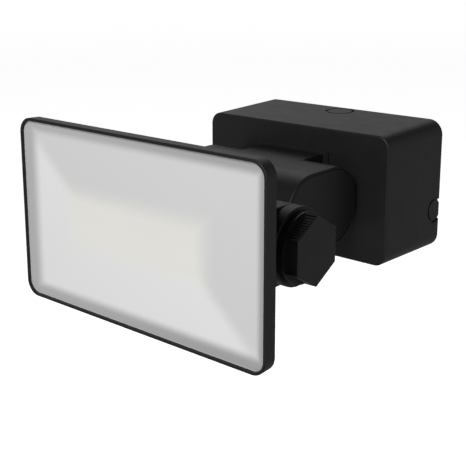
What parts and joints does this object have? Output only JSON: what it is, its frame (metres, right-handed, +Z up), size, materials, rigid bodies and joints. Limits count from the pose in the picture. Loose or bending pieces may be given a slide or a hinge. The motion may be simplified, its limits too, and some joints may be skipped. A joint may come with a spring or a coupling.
{
  "type": "wall mounted floodlight",
  "caption": "Outdoor wall floodlight: rectangular wall box, fixed hollow arm with round ends, and a wide frosted lamp head that tilts on a hinge locked by a hexagonal hand knob.",
  "frame": {"origin": "centre of the wall face, on the plane where the wall box and its mounting plate meet the wall", "axes": "+Y points into the wall, -Y out through the lamp's front, +Z up, +X to the right of a person facing the wall; the hinge axis is parallel to X"},
  "size_m": [0.2374, 0.267, 0.1404],
  "materials": {
    "black_plastic": "fine moulded matte texture",
    "knob_plastic": "matte, ribbed grips",
    "zinc_steel": "zinc plated",
    "screw_steel": "zinc plated",
    "bolt_steel": "machined",
    "foam_rubber": "closed cell foam",
    "seal_rubber": "matte",
    "lead_rubber": "matte",
    "circuit_board": "solder mask",
    "winding_tape": "wound tape over a dark core",
    "capacitor_sleeve": "shrink sleeve",
    "terminal_plastic": "moulded",
    "shield_can": "pressed can",
    "bare_brass": "machined",
    "bush_plastic": "acetal",
    "frosted_plastic": "frosted opal",
    "white_plastic": "white reflector",
    "led_board_white": "white solder mask",
    "led_phosphor": "phosphor",
    "spreader_aluminium": "as cast",
    "vent_plastic": "matte"
  },
  "bodies": {
    "wall_unit": {"wall_box_housing": "black_plastic", "mounting_plate": "zinc_steel", "wall_gasket": "foam_rubber", "housing_screws": "screw_steel", "bottom_entry_plug": "seal_rubber", "driver_board": "circuit_board", "transformer": "winding_tape", "capacitors": "capacitor_sleeve", "terminal_block": "terminal_plastic", "terminal_screws": "screw_steel", "radio_module": "shield_can", "radio_antenna": "bare_brass", "cable_clamp": "terminal_plastic", "clamp_screws": "screw_steel", "board_screws": "screw_steel", "arm_screws": "screw_steel", "arm_body": "black_plastic", "arm_cover_left": "black_plastic", "arm_cover_right": "black_plastic", "lead_bushings": "seal_rubber", "lamp_lead": "lead_rubber", "lead_connector": "terminal_plastic", "hinge_bushes": "bush_plastic"},
    "lamp_head": {"hinge_bolt": "bolt_steel", "hinge_end_cap": "black_plastic", "hinge_ear_left": "black_plastic", "hinge_ear_right": "black_plastic", "ear_screws": "screw_steel", "head_lead": "lead_rubber", "knob_seal": "seal_rubber", "front_frame": "black_plastic", "diffuser": "frosted_plastic", "diffuser_gasket": "seal_rubber", "reflector_tray": "white_plastic", "led_board": "led_board_white", "leds": "led_phosphor", "heat_spreader": "spreader_aluminium", "head_housing": "black_plastic", "head_screws": "screw_steel", "breather_vent": "vent_plastic"},
    "hand_knob": {"clamp_knob": "knob_plastic", "knob_insert": "bare_brass"}
  },
  "joints": [
    {"name": "head_tilt", "type": "hinge", "parent": "wall_unit", "child": "lamp_head", "pos_m": [0, -0.208, -0.0013], "axis": [1, 0, 0], "range_deg": [-30, 70]},
    {"name": "knob_turn", "type": "hinge", "parent": "lamp_head", "child": "hand_knob", "pos_m": [0, -0.208, -0.0013], "axis": [1, 0, 0], "continuous": true}
  ]
}
